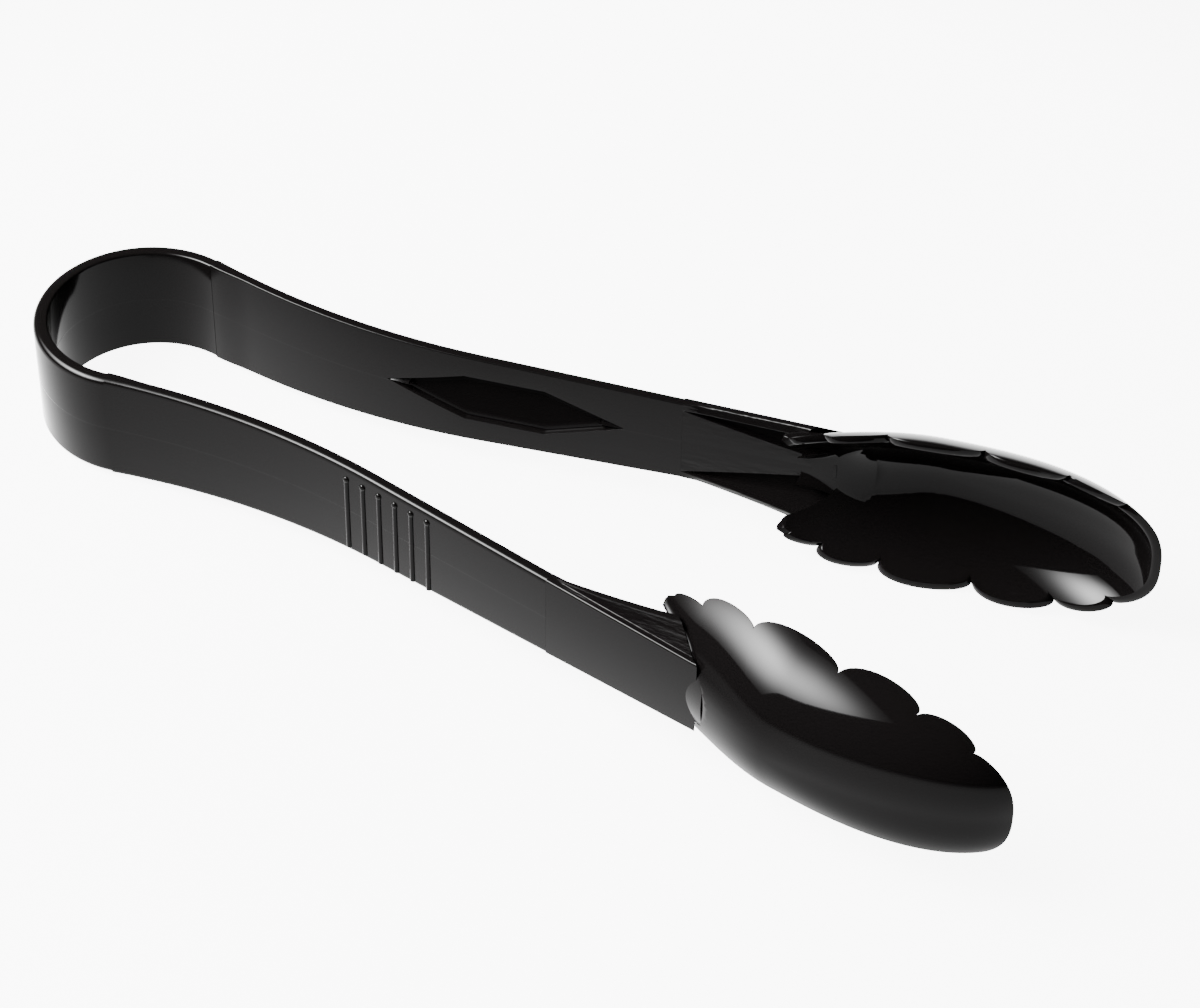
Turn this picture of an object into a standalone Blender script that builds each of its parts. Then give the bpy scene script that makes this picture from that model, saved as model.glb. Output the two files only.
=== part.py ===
"""Spring-bow kitchen tongs: one C-shaped bow, two straps, two necks and two scalloped scoops.

Frame: metres, +X from the bow to the tips, +Y to the rear arm, +Z up.  The tongs lie on their side,
so the strap's width is vertical and every flexure axis is parallel to Z.  The origin is the middle
of the bounding box.  The tongs are one moulding; the solids part at its own lines and, in the bow,
at the flexure lines that stand for the elastic bending, with a small clearance between neighbours.
"""
import math

import bmesh
import bpy
from mathutils import Matrix, Vector

MM = 0.001
CLEARANCE = 0.3 * MM            # between neighbouring solids

# the bow: an arc of the strap's outer face, measured from the crown
BOW_RADIUS = 22.5 * MM
BOW_X = -91.8 * MM
BOW_SWEEP = math.radians(100.9)
BOW_THICKNESS = 3.0 * MM
BOW_HALF_HEIGHT = 12.1 * MM

# the strap's outer face: a long arc that turns the other way, then a straight run
STRAP_THICKNESS = 2.4 * MM
STRAP_RADIUS = 162.4 * MM
STRAP_RISE = math.radians(10.81)
STRAP_HALF_HEIGHT = 12.3 * MM   # at the bow, tapering evenly towards the head
STRAP_TAPER = 0.026
OUTER_ROUND = 1.2 * MM
INNER_ROUND = 0.35 * MM

# grip ribs on the outer face and the long hexagonal recess on the inner face
RIB_COUNT = 6
RIB_PITCH = 3.98 * MM
RIB_FIRST_X = -33.1 * MM
RIB_WIDTH = 1.1 * MM
RIB_PROUD = 0.45 * MM
RIB_TOP = 7.8 * MM
BEAD_RADIUS = 0.75 * MM
RECESS_CENTRE_X = -21.0 * MM
RECESS_HALF_LENGTH = 24.4 * MM
RECESS_HALF_FLAT = 8.2 * MM
RECESS_HALF_HEIGHT = 5.4 * MM
RECESS_DEPTH = 1.0 * MM

# the neck: the outer face carries on, with a tapering spine inside, two webs and two flanges
NECK_START_X = 15.4 * MM
NECK_END_HALF_HEIGHT = 8.8 * MM
NECK_SHARES = (0.0, 0.08, 0.2, 0.4, 0.6, 0.8, 1.0)
SPINE_END_HALF_HEIGHT = 1.6 * MM
WEB_THICKNESS = 0.8 * MM
WEB_STEP = 0.25 * MM
FLANGE_WIDTH = 1.3 * MM
FLANGE_THICKNESS = 1.4 * MM

# the line, seen from above, where the neck ends and the head begins
CREASE_INNER = (39.5 * MM, 26.6 * MM)
CREASE_OUTER = (50.2 * MM, 36.3 * MM)
COLLAR_HALF_HEIGHT = 13.2 * MM
COLLAR_DEPTH = 6.1 * MM         # of the flange's inner edge, under the strap's outer face

# the head: a shell of half an ellipsoid, its rim cut into convex lobes
HEAD_X = 70.8 * MM
HEAD_Y = 22.4 * MM
HEAD_TURN = math.radians(10.45)
HEAD_LENGTH = 47.5 * MM         # semi-axes
HEAD_DEPTH = 22.4 * MM
HEAD_HALF_HEIGHT = 20.2 * MM
HEAD_BLUNTNESS = 2.78           # outline exponent of the tip half; the neck half is elliptical
HEAD_WALL = 1.7 * MM
NECK_EASE = 2.0 * MM            # the back is flatter than an ellipsoid where it runs into the neck
NECK_EASE_RUN = 22.0 * MM
LOBE_LEAN = 0.18                # lobes are fuller on the side towards the neck
# notches between the lobes, round from the tip: polar angle and height over the middle plane
NOTCHES = [(40.0, 8.3 * MM), (57.2, 9.3 * MM), (78.6, 10.4 * MM), (104.8, 10.3 * MM), (123.0, 10.1 * MM),
           (134.5, 9.5 * MM)]
LOBE_RISES = [1.9 * MM, 2.0 * MM, 3.2 * MM, 3.3 * MM, 2.5 * MM, 0.8 * MM]
HEAD_RINGS = 9
LOBE_STEPS = 7

FLEX_COUNT = 3                  # flexure lines in each half of the bow
SIDES = {"front": -1.0, "rear": 1.0}
GLOSS_BLACK = (0.012, 0.012, 0.013)


def clear_scene():
    for scene_object in list(bpy.data.objects):
        bpy.data.objects.remove(scene_object, do_unlink=True)


def plastic(name, roughness):
    material = bpy.data.materials.new(name)
    material.use_nodes = True
    shader = material.node_tree.nodes["Principled BSDF"]
    shader.inputs["Base Color"].default_value = (*GLOSS_BLACK, 1.0)
    shader.inputs["Roughness"].default_value = roughness
    shader.inputs["Metallic"].default_value = 0.0
    material.diffuse_color = (*GLOSS_BLACK, 1.0)
    return material


def finish_mesh(name, mesh_data, material, smooth_angle=40.0):
    """Faces out, smooth where round, one object with its own material."""
    bmesh.ops.remove_doubles(mesh_data, verts=mesh_data.verts, dist=1e-7)
    bmesh.ops.recalc_face_normals(mesh_data, faces=mesh_data.faces)
    mesh = bpy.data.meshes.new(name)
    mesh_data.to_mesh(mesh)
    mesh_data.free()
    mesh.shade_smooth()
    mesh.set_sharp_from_angle(angle=math.radians(smooth_angle))
    made = bpy.data.objects.new(name, mesh)
    bpy.context.scene.collection.objects.link(made)
    if material:
        mesh.materials.append(material)
    return made


# ---- the outer face seen from above: (point, outward direction) for the rear arm ----

def bow_station(angle):
    outward = Vector((-math.cos(angle), math.sin(angle)))
    return Vector((BOW_X, 0.0)) + outward * BOW_RADIUS, outward


BOW_LEAN = BOW_SWEEP - math.pi / 2          # how far the strap leans in where it leaves the bow
BOW_END = bow_station(BOW_SWEEP)[0]
WAIST = BOW_END + STRAP_RADIUS * Vector((math.sin(BOW_LEAN), math.cos(BOW_LEAN) - 1.0))


def strap_station(x):
    """A point of the strap's outer face and its outward direction at a place along X."""
    arc_end = WAIST.x + STRAP_RADIUS * math.sin(STRAP_RISE)
    if x < arc_end:
        lean = math.asin((x - WAIST.x) / STRAP_RADIUS)
        y = WAIST.y + STRAP_RADIUS * (1.0 - math.cos(lean))
    else:
        lean = STRAP_RISE
        y_end = WAIST.y + STRAP_RADIUS * (1.0 - math.cos(STRAP_RISE))
        y = y_end + (x - arc_end) * math.tan(STRAP_RISE)
    return Vector((x, y)), Vector((-math.sin(lean), math.cos(lean)))


def strap_half_height(x):
    return STRAP_HALF_HEIGHT - STRAP_TAPER * (x - BOW_END.x)


def place(side, station, depth, z):
    """A point at a depth under the outer face, on the chosen side."""
    point = station[0] - station[1] * depth
    return Vector((point.x, side * point.y, z))


# ---- straps: a rounded section carried along the stations ----

def strap_section(half_height, thickness):
    """(depth, z) round the section: outer corners well rounded, inner corners nearly sharp."""
    corners = [
        (OUTER_ROUND, half_height - OUTER_ROUND, OUTER_ROUND, 180.0, 90.0),
        (thickness - INNER_ROUND, half_height - INNER_ROUND, INNER_ROUND, 90.0, 0.0),
    ]
    upper = []
    for depth, z, radius, start, end in corners:
        for step in range(4):
            angle = math.radians(start + (end - start) * step / 3)
            upper.append((depth + radius * math.cos(angle), z + radius * math.sin(angle)))
    return upper + [(depth, -z) for depth, z in reversed(upper)]


def sweep(mesh_data, side, stations, thickness, half_heights):
    rings = []
    for station, half_height in zip(stations, half_heights):
        section = strap_section(half_height, thickness)
        rings.append([mesh_data.verts.new(place(side, station, d, z)) for d, z in section])
    count = len(rings[0])
    for ring, following in zip(rings, rings[1:]):
        for k in range(count):
            after = (k + 1) % count
            mesh_data.faces.new((ring[k], ring[after], following[after], following[k]))
    mesh_data.faces.new(rings[0])
    mesh_data.faces.new(list(reversed(rings[-1])))


def bow_piece(name, side, start, end, material, steps=8):
    """A stretch of the bow between two angles, each pulled back by half the clearance."""
    gap = 0.5 * CLEARANCE / (BOW_RADIUS - BOW_THICKNESS)
    low = start + gap
    high = end - gap
    angles = [low + (high - low) * k / steps for k in range(steps + 1)]
    mesh_data = bmesh.new()
    stations = [bow_station(angle) for angle in angles]
    sweep(mesh_data, side, stations, BOW_THICKNESS, [BOW_HALF_HEIGHT] * len(stations))
    return finish_mesh(name, mesh_data, material)


def convex(mesh_data, points):
    """The convex solid around some points, added to a mesh."""
    corners = [mesh_data.verts.new(point) for point in points]
    bmesh.ops.convex_hull(mesh_data, input=corners, use_existing_faces=False)
    spare = [corner for corner in mesh_data.verts if not corner.link_faces]
    bmesh.ops.delete(mesh_data, geom=spare, context="VERTS")


def convex_tool(name, points):
    mesh_data = bmesh.new()
    convex(mesh_data, points)
    return finish_mesh(name, mesh_data, None)


def combine(target, tool, operation):
    """Applies one exact Boolean and removes the tool."""
    modifier = target.modifiers.new(operation.lower(), "BOOLEAN")
    modifier.operation = operation
    modifier.solver = "EXACT"
    modifier.object = tool
    graph = bpy.context.evaluated_depsgraph_get()
    mesh = bpy.data.meshes.new_from_object(target.evaluated_get(graph))
    target.modifiers.remove(modifier)
    old = target.data
    target.data = mesh
    mesh.name = target.name
    bpy.data.meshes.remove(old)
    bpy.data.objects.remove(tool, do_unlink=True)


def rib_tool(side, index):
    """One cross rib from the lower edge up, rooted inside the strap."""
    x = RIB_FIRST_X + index * RIB_PITCH
    bottom = -(strap_half_height(x) - OUTER_ROUND)
    points = []
    for z in (bottom, RIB_TOP):
        for offset, proud in ((-0.5, -1.0), (-0.2, 1.0), (0.2, 1.0), (0.5, -1.0)):
            station = strap_station(x + offset * RIB_WIDTH)
            points.append(place(side, station, -proud * RIB_PROUD, z))
            points.append(place(side, station, OUTER_ROUND, z))
    return convex_tool("rib_tool", points)


def bead_tool(side, index):
    """The small round bead at a rib's upper end."""
    centre_x = RIB_FIRST_X + index * RIB_PITCH
    points = []
    for reach, proud in ((1.0, 0.0), (0.8, 0.7), (0.4, 1.0)):
        for k in range(8):
            angle = 2.0 * math.pi * k / 8
            station = strap_station(centre_x + reach * BEAD_RADIUS * math.cos(angle))
            z = RIB_TOP + reach * BEAD_RADIUS * math.sin(angle)
            points.append(place(side, station, -proud * 1.3 * RIB_PROUD, z))
            if reach == 1.0:
                points.append(place(side, station, OUTER_ROUND, z))
    return convex_tool("bead_tool", points)


def recess_tool(side):
    """The long hexagon sunk into the strap's inner face, with sloping walls."""
    outline = [(-RECESS_HALF_LENGTH, 0.0), (-RECESS_HALF_FLAT, RECESS_HALF_HEIGHT),
               (RECESS_HALF_FLAT, RECESS_HALF_HEIGHT), (RECESS_HALF_LENGTH, 0.0),
               (RECESS_HALF_FLAT, -RECESS_HALF_HEIGHT), (-RECESS_HALF_FLAT, -RECESS_HALF_HEIGHT)]
    mesh_data = bmesh.new()
    floor = []
    mouth = []
    for dx, z in outline:
        station = strap_station(RECESS_CENTRE_X + dx)
        floor.append(mesh_data.verts.new(place(side, station, STRAP_THICKNESS - RECESS_DEPTH, z * 0.8)))
        mouth.append(mesh_data.verts.new(place(side, station, STRAP_THICKNESS + RECESS_DEPTH, z * 1.2)))
    for k in range(6):
        after = (k + 1) % 6
        mesh_data.faces.new((floor[k], floor[after], mouth[after], mouth[k]))
    for ring in (floor, mouth):
        mesh_data.faces.new((ring[0], ring[1], ring[5]))
        mesh_data.faces.new((ring[1], ring[2], ring[4], ring[5]))
        mesh_data.faces.new((ring[2], ring[3], ring[4]))
    return finish_mesh("recess_tool", mesh_data, None)


def strap_piece(name, side, material):
    """The strap from the bow to the neck, with its ribs and its recess."""
    first = BOW_END.x + 0.5 * CLEARANCE
    arc_end = WAIST.x + STRAP_RADIUS * math.sin(STRAP_RISE)
    last = NECK_START_X - 0.5 * CLEARANCE
    steps = 12
    places = [first + (arc_end - first) * k / steps for k in range(steps + 1)] + [last]
    mesh_data = bmesh.new()
    sweep(mesh_data, side, [strap_station(x) for x in places], STRAP_THICKNESS,
          [strap_half_height(x) for x in places])
    strap = finish_mesh(name, mesh_data, material)
    for index in range(RIB_COUNT):
        combine(strap, rib_tool(side, index), "UNION")
        combine(strap, bead_tool(side, index), "UNION")
    combine(strap, recess_tool(side), "DIFFERENCE")
    return strap


# ---- the crease between neck and head is a vertical plane ----

def crease_block(side, keep_head):
    """A block on the far side of the crease, less half the clearance."""
    inner = Vector(CREASE_INNER)
    outer = Vector(CREASE_OUTER)
    along = (outer - inner).normalized()
    ahead = Vector((along.y, -along.x))
    direction = -1.0 if keep_head else 1.0
    near = direction * -0.5 * CLEARANCE
    far = direction * 80.0 * MM
    points = []
    for reach in (-60.0 * MM, 60.0 * MM):
        for depth in (near, far):
            plan = inner + along * reach + ahead * depth
            for z in (-40.0 * MM, 40.0 * MM):
                points.append(Vector((plan.x, side * plan.y, z)))
    return convex_tool("crease_block", points)


def crease_face_x(depth):
    """Where the crease cuts the strap at a depth, as the X of the outer face above it."""
    station = strap_station(CREASE_OUTER[0])
    run = Vector((station[1].y, -station[1].x))
    offset = Vector(CREASE_INNER) - station[0]
    inner_depth = -offset.dot(station[1])
    inner_shift = offset.dot(run) * run.x
    return CREASE_OUTER[0] + inner_shift * depth / inner_depth


def neck_section(share, half_height):
    """(depth, z) of the upper half of the neck, from the outer face round to the inner face."""
    opening = min(1.0, 12.0 * share)
    flange_top = half_height + 0.1 * MM + (COLLAR_HALF_HEIGHT - NECK_END_HALF_HEIGHT) * share
    flange_foot = max(half_height + 0.05 * MM, flange_top - FLANGE_WIDTH)
    flange_inner = STRAP_THICKNESS + (COLLAR_DEPTH - STRAP_THICKNESS) * share
    flange_outer = flange_inner - FLANGE_THICKNESS + (FLANGE_THICKNESS - 1.1 * MM) * (1.0 - share) ** 4
    spine_top = SPINE_END_HALF_HEIGHT + (half_height - FLANGE_WIDTH - SPINE_END_HALF_HEIGHT) * (1.0 - share)
    web_root = OUTER_ROUND + 0.3 * WEB_STEP * opening
    web_tip = flange_outer + WEB_STEP * opening + 0.05 * MM
    web_back = max(STRAP_THICKNESS - (STRAP_THICKNESS - web_root - WEB_THICKNESS) * opening, web_root + 0.6 * MM)
    pocket_top = min(flange_foot, flange_top - 0.8 * FLANGE_WIDTH)
    return [
        (0.0, half_height - OUTER_ROUND),
        (0.3 * OUTER_ROUND, half_height - 0.3 * OUTER_ROUND),
        (OUTER_ROUND, half_height),
        (web_root, half_height + 0.02 * MM),
        (web_tip, flange_foot),
        (flange_outer, flange_foot + 0.02 * MM),
        (flange_outer, flange_top),
        (flange_inner, flange_top),
        (flange_inner, pocket_top),
        (max(web_back, web_tip + WEB_THICKNESS * opening), pocket_top - 0.02 * MM),
        (web_back, spine_top + 0.05 * MM),
        (STRAP_THICKNESS + 0.01 * MM, spine_top),
    ]


def neck_piece(name, side, material):
    """Rings that lean over steadily until the last one lies in the crease."""
    mesh_data = bmesh.new()
    rings = []
    for share in NECK_SHARES:
        x_middle = NECK_START_X + share * (CREASE_OUTER[0] - NECK_START_X)
        upper = neck_section(share, strap_half_height(x_middle))
        section = upper + [(depth, -z) for depth, z in reversed(upper)]
        ring = []
        for depth, z in section:
            first = NECK_START_X + 0.5 * CLEARANCE
            last = crease_face_x(depth) - 0.5 * CLEARANCE
            station = strap_station(first + share * (last - first))
            ring.append(mesh_data.verts.new(place(side, station, depth, z)))
        rings.append(ring)
    count = len(rings[0])
    for ring, following in zip(rings, rings[1:]):
        for k in range(count):
            after = (k + 1) % count
            mesh_data.faces.new((ring[k], ring[after], following[after]))
            mesh_data.faces.new((ring[k], following[after], following[k]))
    mesh_data.faces.new(rings[0])
    mesh_data.faces.new(list(reversed(rings[-1])))
    return finish_mesh(name, mesh_data, material)


# ---- the head ----

def head_point(side, polar, ring, shrink):
    """A point of the scoop's form at a polar angle round its short axis and a ring from 0 to 1."""
    c = math.cos(polar)
    s = math.sin(polar)
    power = HEAD_BLUNTNESS if c > 0.0 else 2.0
    reach = ring * (abs(c) ** power + abs(s) ** power) ** (-1.0 / power)
    along = (HEAD_LENGTH - shrink) * reach * c
    up = (HEAD_HALF_HEIGHT - shrink) * reach * s
    run = min(1.0, max(0.0, -along / NECK_EASE_RUN))
    ease = NECK_EASE * run * run * (3.0 - 2.0 * run) * (1.0 - (up / HEAD_HALF_HEIGHT) ** 2)
    out = (HEAD_DEPTH - shrink) * math.sqrt(max(0.0, 1.0 - ring * ring)) - ease
    x = HEAD_X + along * math.cos(HEAD_TURN) - out * math.sin(HEAD_TURN)
    y = HEAD_Y + along * math.sin(HEAD_TURN) + out * math.cos(HEAD_TURN)
    return Vector((x, side * y, up))


def rim_height(polar):
    """How far the rim stands above the form's middle plane; lobes bring it nearer."""
    degrees = abs(math.degrees(polar))
    start = (-NOTCHES[0][0], NOTCHES[0][1])
    for end, rise in zip(NOTCHES, LOBE_RISES):
        if degrees <= end[0]:
            across = 2.0 * (degrees - start[0]) / (end[0] - start[0]) - 1.0
            lean = 0.0 if start[0] < 0.0 else LOBE_LEAN * across
            base = 0.5 * (start[1] + end[1]) + 0.5 * (end[1] - start[1]) * across
            return base - rise * math.sqrt(max(0.0, 1.0 - across * across)) * (1.0 + lean)
        start = end
    return NOTCHES[-1][1]


def rim_angles():
    """Polar angles all the way round, with every notch among them."""
    first = NOTCHES[0][0]
    half = [first * math.sin(0.5 * math.pi * k / LOBE_STEPS) for k in range(LOBE_STEPS)]
    for start, end in zip(NOTCHES, NOTCHES[1:]):
        middle = 0.5 * (start[0] + end[0])
        reach = 0.5 * (end[0] - start[0])
        half += [middle - reach * math.cos(math.pi * k / LOBE_STEPS) for k in range(LOBE_STEPS)]
    half += [NOTCHES[-1][0], 150.0, 165.0]
    whole = half + [180.0] + [-angle for angle in reversed(half[1:])]
    return [math.radians(angle) for angle in whole]


def head_piece(name, side, material):
    mesh_data = bmesh.new()
    angles = rim_angles()
    shells = []
    for shrink in (0.0, HEAD_WALL):
        rings = []
        for level in range(1, HEAD_RINGS + 1):
            share = math.sin(0.5 * math.pi * level / HEAD_RINGS)
            ring = []
            for polar in angles:
                height = rim_height(polar)
                edge = math.sqrt(1.0 - (height / (HEAD_DEPTH - shrink)) ** 2)
                ring.append(mesh_data.verts.new(head_point(side, polar, edge * share, shrink)))
            rings.append(ring)
        pole = mesh_data.verts.new(head_point(side, 0.0, 0.0, shrink))
        shells.append((pole, rings))
    count = len(angles)
    for pole, rings in shells:
        for k in range(count):
            after = (k + 1) % count
            mesh_data.faces.new((pole, rings[0][k], rings[0][after]))
            for ring, wider in zip(rings, rings[1:]):
                mesh_data.faces.new((ring[k], wider[k], wider[after], ring[after]))
    outer_rim = shells[0][1][-1]
    inner_rim = shells[1][1][-1]
    for k in range(count):
        after = (k + 1) % count
        mesh_data.faces.new((outer_rim[k], outer_rim[after], inner_rim[after], inner_rim[k]))
    head = finish_mesh(name, mesh_data, material)
    combine(head, crease_block(side, keep_head=True), "DIFFERENCE")
    return head


# ---- moving pieces stand on empties at their flexure lines ----

def flexure_angle(index):
    return BOW_SWEEP * (2 * index + 1) / (2 * FLEX_COUNT)


def flexure_empty(side_name, index, parent):
    station = bow_station(flexure_angle(index))
    empty = bpy.data.objects.new(f"{side_name}_flexure_{index + 1}", None)
    empty.location = place(SIDES[side_name], station, 0.5 * BOW_THICKNESS, 0.0)
    bpy.context.scene.collection.objects.link(empty)
    attach(empty, parent)
    return empty


def attach(child, parent):
    """Parents without moving the child."""
    if parent is None:
        return
    child.parent = parent
    child.matrix_parent_inverse = Matrix.Translation(-parent.location)


def build():
    clear_scene()
    bow_plastic = plastic("bow_plastic", 0.22)
    crown_end = flexure_angle(0)
    bow_piece("bow_crown", 1.0, -crown_end, crown_end, bow_plastic)
    for side_name, side in SIDES.items():
        parts = []
        for index in range(FLEX_COUNT):
            last = index == FLEX_COUNT - 1
            end = BOW_SWEEP if last else flexure_angle(index + 1)
            name = f"{side_name}_bow_heel" if last else f"{side_name}_bow_link_{index + 1}"
            material = plastic(f"{name}_plastic", 0.22)
            steps = 4 if last else 8
            parts.append([bow_piece(name, side, flexure_angle(index), end, material, steps)])
        parts[-1].append(strap_piece(f"{side_name}_strap", side, plastic(f"{side_name}_strap_plastic", 0.3)))
        parts[-1].append(neck_piece(f"{side_name}_neck", side, plastic(f"{side_name}_neck_plastic", 0.2)))
        parts[-1].append(head_piece(f"{side_name}_head", side, plastic(f"{side_name}_head_plastic", 0.12)))
        parent = None
        for index, pieces in enumerate(parts):
            empty = flexure_empty(side_name, index, parent)
            for piece in pieces:
                attach(piece, empty)
            parent = empty


build()
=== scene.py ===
import math

import bmesh
import bpy
import numpy as np
from mathutils import Matrix, Vector


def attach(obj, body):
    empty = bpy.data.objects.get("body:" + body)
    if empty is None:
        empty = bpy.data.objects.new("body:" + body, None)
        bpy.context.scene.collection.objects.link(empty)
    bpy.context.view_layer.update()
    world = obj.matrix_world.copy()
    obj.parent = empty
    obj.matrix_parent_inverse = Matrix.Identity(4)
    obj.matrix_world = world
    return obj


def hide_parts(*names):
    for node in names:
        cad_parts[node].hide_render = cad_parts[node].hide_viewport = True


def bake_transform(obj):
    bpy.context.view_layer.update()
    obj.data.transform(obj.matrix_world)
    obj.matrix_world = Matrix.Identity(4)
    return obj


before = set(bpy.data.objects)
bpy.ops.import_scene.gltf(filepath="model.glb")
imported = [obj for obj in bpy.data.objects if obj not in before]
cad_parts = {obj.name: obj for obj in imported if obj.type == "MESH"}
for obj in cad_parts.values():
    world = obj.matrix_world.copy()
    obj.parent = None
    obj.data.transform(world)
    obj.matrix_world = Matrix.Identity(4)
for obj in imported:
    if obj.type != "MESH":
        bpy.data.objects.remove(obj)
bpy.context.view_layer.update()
mm = 0.001
sides = {"front": -1.0, "rear": 1.0}
print("frame loaded")


# nodes: one wrapper for a socket, and one maker for any other node

class Wire:
    def __init__(self, tree, socket):
        self.tree = tree
        self.socket = socket

    def math(self, operation, *others):
        made = self.tree.nodes.new("ShaderNodeMath")
        made.operation = operation
        for slotIndex, value in enumerate((self, *others)):
            feed(self.tree, made.inputs[slotIndex], value)
        return Wire(self.tree, made.outputs[0])

    def __add__(self, other):
        return self.math("ADD", other)

    def __radd__(self, other):
        return self.math("ADD", other)

    def __sub__(self, other):
        return self.math("SUBTRACT", other)

    def __rsub__(self, other):
        return self.math("MULTIPLY", -1.0).math("ADD", other)

    def __mul__(self, other):
        return self.math("MULTIPLY", other)

    def __rmul__(self, other):
        return self.math("MULTIPLY", other)

    def __truediv__(self, other):
        return self.math("DIVIDE", other)

    def __rtruediv__(self, other):
        return self.math("POWER", -1.0).math("MULTIPLY", other)


def feed(tree, socket, value):
    if isinstance(value, Wire):
        tree.links.new(value.socket, socket)
    else:
        socket.default_value = value


def addNode(tree, kind, settings=None, sockets=None, output=0):
    made = tree.nodes.new(kind)
    for name, value in (settings or {}).items():
        setattr(made, name, value)
    for name, value in (sockets or {}).items():
        feed(tree, made.inputs[name], value)
    return Wire(tree, made.outputs[output])


def splitVector(tree, vector):
    made = tree.nodes.new("ShaderNodeSeparateXYZ")
    feed(tree, made.inputs[0], vector)
    return [Wire(tree, made.outputs[k]) for k in range(3)]


def joinVector(tree, x, y, z):
    return addNode(tree, "ShaderNodeCombineXYZ", None, {"X": x, "Y": y, "Z": z})


def mixNumber(tree, factor, low, high):
    return addNode(tree, "ShaderNodeMix", {"data_type": "FLOAT"}, {0: factor, 2: low, 3: high})


# plastic

plasticLook = {
    "colour": (0.0004, 0.00035, 0.00035, 1.0),
    "coatIor": 1.088,
    "partingWidth": 0.10 * mm,
}


def plastic(name, sheen, wave=0.0, parting=False, pocketGrain=0.0):
    # gloss comes from the coat; an attribute takes it away where shade falls, as painted shade
    material = bpy.data.materials.new(name)
    material.use_nodes = True
    tree = material.node_tree
    shader = tree.nodes["Principled BSDF"]
    shader.inputs["Base Color"].default_value = plasticLook["colour"]
    shader.inputs["Roughness"].default_value = 0.55
    shader.inputs["Specular IOR Level"].default_value = 0.0
    shader.inputs["Coat IOR"].default_value = plasticLook["coatIor"]
    shader.inputs["Coat Roughness"].default_value = sheen
    paintedShade = addNode(tree, "ShaderNodeAttribute", {"attribute_name": "paintedShade"}, None, 2)
    feed(tree, shader.inputs["Coat Weight"], 1.0 - paintedShade)
    coordinates = tree.nodes.new("ShaderNodeTexCoord")
    place = Wire(tree, coordinates.outputs["Object"])
    x, y, z = splitVector(tree, place)
    height = addNode(tree, "ShaderNodeTexNoise", {"noise_dimensions": "3D"},
                     {"Vector": place, "Scale": 60.0, "Detail": 2.0, "Roughness": 0.4})
    height = height * wave
    if parting:
        line = z.math("ABSOLUTE") / plasticLook["partingWidth"]
        line = (1.0 - line).math("MAXIMUM", 0.0)
        height = height + line * 0.015
    if pocketGrain:
        streaked = joinVector(tree, x * 90.0, y * 700.0, z * 700.0)
        grain = addNode(tree, "ShaderNodeTexNoise", {"noise_dimensions": "3D"},
                        {"Vector": streaked, "Scale": 1.0, "Detail": 3.0, "Roughness": 0.6})
        web = addNode(tree, "ShaderNodeAttribute", {"attribute_name": "web"}, None, 2)
        height = height + grain * web * pocketGrain
    bump = addNode(tree, "ShaderNodeBump", None,
                   {"Height": height, "Strength": 1.0, "Distance": mm})
    for socketName in ("Normal", "Coat Normal"):
        feed(tree, shader.inputs[socketName], bump)
    return material


bowPlastic = plastic("bowPlastic", 0.10, 0.02, parting=True)
strapPlastic = plastic("strapPlastic", 0.16, 0.02, parting=True)
neckPlastic = plastic("neckPlastic", 0.10, 0.02, pocketGrain=0.2)
headPlastic = plastic("headPlastic", 0.05, 0.01)
print("plastic made")


# mesh helpers

def finishMesh(name, mesh, material, smoothAngle=32.0):
    cleaned = bmesh.new()
    cleaned.from_mesh(mesh)
    bmesh.ops.remove_doubles(cleaned, verts=cleaned.verts, dist=0.0006 * mm)
    bmesh.ops.recalc_face_normals(cleaned, faces=cleaned.faces)
    cleaned.to_mesh(mesh)
    cleaned.free()
    mesh.shade_smooth()
    mesh.set_sharp_from_angle(angle=math.radians(smoothAngle))
    mesh.name = name
    if not mesh.materials:
        mesh.materials.append(material)
    made = bpy.data.objects.new(name, mesh)
    bpy.context.scene.collection.objects.link(made)
    return made


def loft(name, rings, material, marks=None, smoothAngle=32.0):
    # rings of equal length, each a closed loop; marks are float attributes, one value a point
    count = len(rings[0])
    points = [point for ring in rings for point in ring]
    faces = []
    for level in range(len(rings) - 1):
        for k in range(count):
            after = (k + 1) % count
            a = level * count
            b = a + count
            faces.append((a + k, a + after, b + after, b + k))
    faces.append(tuple(range(count)))
    faces.append(tuple(reversed(range((len(rings) - 1) * count, len(rings) * count))))
    mesh = bpy.data.meshes.new(name)
    mesh.from_pydata([tuple(point) for point in points], [], faces)
    for label, values in (marks or {}).items():
        attribute = mesh.attributes.new(label, "FLOAT", "POINT")
        attribute.data.foreach_set("value", np.array(values, np.float32))
    return finishMesh(name, mesh, material, smoothAngle)


def rounded(corners, steps=5):
    # corners are (depth, z, radius); each becomes an arc of steps + 1 points
    out = []
    count = len(corners)
    for k, (depth, z, radius) in enumerate(corners):
        here = Vector((depth, z))
        before = Vector(corners[k - 1][:2]) - here
        after = Vector(corners[(k + 1) % count][:2]) - here
        reach = min(radius, 0.45 * before.length, 0.45 * after.length)
        if radius <= 0.0:
            out.append(here)
            continue
        start = here + before.normalized() * reach
        end = here + after.normalized() * reach
        for step in range(steps + 1):
            t = step / steps
            out.append(start * (1 - t) ** 2 + here * (2 * t * (1 - t)) + end * t ** 2)
    return out


# the outer face seen from above, shared by all the pieces of an arm

bow = {
    "radius": 22.5 * mm,
    "centreX": -91.8 * mm,
    "sweep": math.radians(100.9),
    "thickness": 2.95 * mm,
    "halfHeight": 12.08 * mm,
    "outerRound": 1.25 * mm,
    "innerRound": 0.5 * mm,
    "stepsEach": 96,
}
strap = {
    "thickness": 2.38 * mm,
    "radius": 162.4 * mm,
    "rise": math.radians(10.81),
    "halfHeight": 12.28 * mm,
    "taper": 0.026,
    "outerRound": 1.2 * mm,
    "innerRound": 0.28 * mm,
    "endX": 15.4 * mm,
    "easeIn": 9.0 * mm,
    "stepDepth": 0.06 * mm,
    "step": 1.0 * mm,
}


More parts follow.
